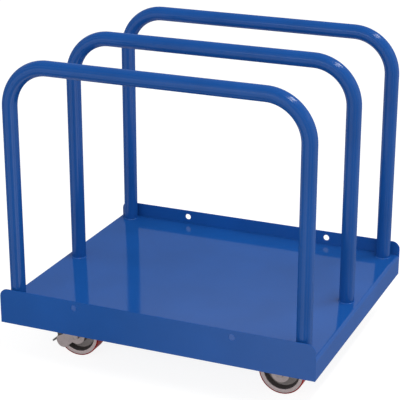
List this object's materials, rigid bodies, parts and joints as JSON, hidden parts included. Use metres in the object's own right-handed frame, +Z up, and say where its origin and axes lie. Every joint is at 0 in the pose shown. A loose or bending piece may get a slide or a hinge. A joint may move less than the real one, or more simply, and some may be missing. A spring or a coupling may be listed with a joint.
{
  "type": "sheet goods cart",
  "caption": "Flat steel cart on swivel and rigid casters, with upright tube dividers and end lips, for moving standing sheets of board.",
  "frame": {"origin": "on the floor, under the middle of the deck", "axes": "+X along the cart from the swivel casters to the rigid ones, +Y from the front end plate to the rear one, +Z up"},
  "size_m": [0.9144, 0.7684, 0.8644],
  "materials": {
    "blue_paint": "glossy blue powder coat",
    "zinc_steel": "zinc plated steel",
    "dark_steel": "dark plated steel",
    "wheel_core": "grey painted casting",
    "tread": "red polyurethane, slightly glossy",
    "bush": "oiled bronze",
    "shoe": "matt black rubber"
  },
  "bodies": {
    "frame": {"deck_plate": "blue_paint", "front_end_plate": "blue_paint", "rear_end_plate": "blue_paint", "front_divider": "blue_paint", "middle_divider": "blue_paint", "rear_divider": "blue_paint", "left_caster_channel": "blue_paint", "right_caster_channel": "blue_paint", "front_left_top_plate": "zinc_steel", "front_left_swivel_bearing": "dark_steel", "front_left_kingpin": "zinc_steel", "rear_left_top_plate": "zinc_steel", "rear_left_swivel_bearing": "dark_steel", "rear_left_kingpin": "zinc_steel", "front_right_fork": "zinc_steel", "front_right_axle_bolt": "zinc_steel", "front_right_axle_nut": "zinc_steel", "front_right_axle_bush": "bush", "rear_right_fork": "zinc_steel", "rear_right_axle_bolt": "zinc_steel", "rear_right_axle_nut": "zinc_steel", "rear_right_axle_bush": "bush", "front_left_screw_1": "zinc_steel", "front_left_screw_2": "zinc_steel", "front_left_screw_3": "zinc_steel", "front_left_screw_4": "zinc_steel", "rear_left_screw_1": "zinc_steel", "rear_left_screw_2": "zinc_steel", "rear_left_screw_3": "zinc_steel", "rear_left_screw_4": "zinc_steel", "front_right_screw_1": "zinc_steel", "front_right_screw_2": "zinc_steel", "front_right_screw_3": "zinc_steel", "front_right_screw_4": "zinc_steel", "rear_right_screw_1": "zinc_steel", "rear_right_screw_2": "zinc_steel", "rear_right_screw_3": "zinc_steel", "rear_right_screw_4": "zinc_steel"},
    "front_left_swivel": {"front_left_fork": "zinc_steel", "front_left_axle_bolt": "zinc_steel", "front_left_axle_nut": "zinc_steel", "front_left_axle_bush": "bush", "front_left_brake_pin": "zinc_steel"},
    "front_left_wheel": {"front_left_wheel_core": "wheel_core", "front_left_tread": "tread"},
    "front_left_pedal": {"front_left_brake_pedal": "dark_steel", "front_left_brake_shoe": "shoe"},
    "rear_left_swivel": {"rear_left_fork": "zinc_steel", "rear_left_axle_bolt": "zinc_steel", "rear_left_axle_nut": "zinc_steel", "rear_left_axle_bush": "bush", "rear_left_brake_pin": "zinc_steel"},
    "rear_left_wheel": {"rear_left_wheel_core": "wheel_core", "rear_left_tread": "tread"},
    "rear_left_pedal": {"rear_left_brake_pedal": "dark_steel", "rear_left_brake_shoe": "shoe"},
    "front_right_wheel": {"front_right_wheel_core": "wheel_core", "front_right_tread": "tread"},
    "rear_right_wheel": {"rear_right_wheel_core": "wheel_core", "rear_right_tread": "tread"}
  },
  "joints": [
    {"name": "front_left_swivel_turn", "type": "hinge", "parent": "frame", "child": "front_left_swivel", "pos_m": [-0.3256, -0.2522, 0.15], "axis": [0, 0, 1], "continuous": true},
    {"name": "front_left_wheel_spin", "type": "hinge", "parent": "front_left_swivel", "child": "front_left_wheel", "pos_m": [-0.278, -0.2522, 0.0635], "axis": [0, 1, 0], "continuous": true},
    {"name": "front_left_brake_lift", "type": "hinge", "parent": "front_left_swivel", "child": "front_left_pedal", "pos_m": [-0.32819, -0.2522, 0.12124], "axis": [0, 1, 0], "range_deg": [0, 20]},
    {"name": "rear_left_swivel_turn", "type": "hinge", "parent": "frame", "child": "rear_left_swivel", "pos_m": [-0.3256, 0.2522, 0.15], "axis": [0, 0, 1], "continuous": true},
    {"name": "rear_left_wheel_spin", "type": "hinge", "parent": "rear_left_swivel", "child": "rear_left_wheel", "pos_m": [-0.278, 0.2522, 0.0635], "axis": [0, 1, 0], "continuous": true},
    {"name": "rear_left_brake_lift", "type": "hinge", "parent": "rear_left_swivel", "child": "rear_left_pedal", "pos_m": [-0.32819, 0.2522, 0.12124], "axis": [0, 1, 0], "range_deg": [0, 20]},
    {"name": "front_right_wheel_spin", "type": "hinge", "parent": "frame", "child": "front_right_wheel", "pos_m": [0.3256, -0.2453, 0.0635], "axis": [0, 1, 0], "continuous": true},
    {"name": "rear_right_wheel_spin", "type": "hinge", "parent": "frame", "child": "rear_right_wheel", "pos_m": [0.3256, 0.2453, 0.0635], "axis": [0, 1, 0], "continuous": true}
  ]
}
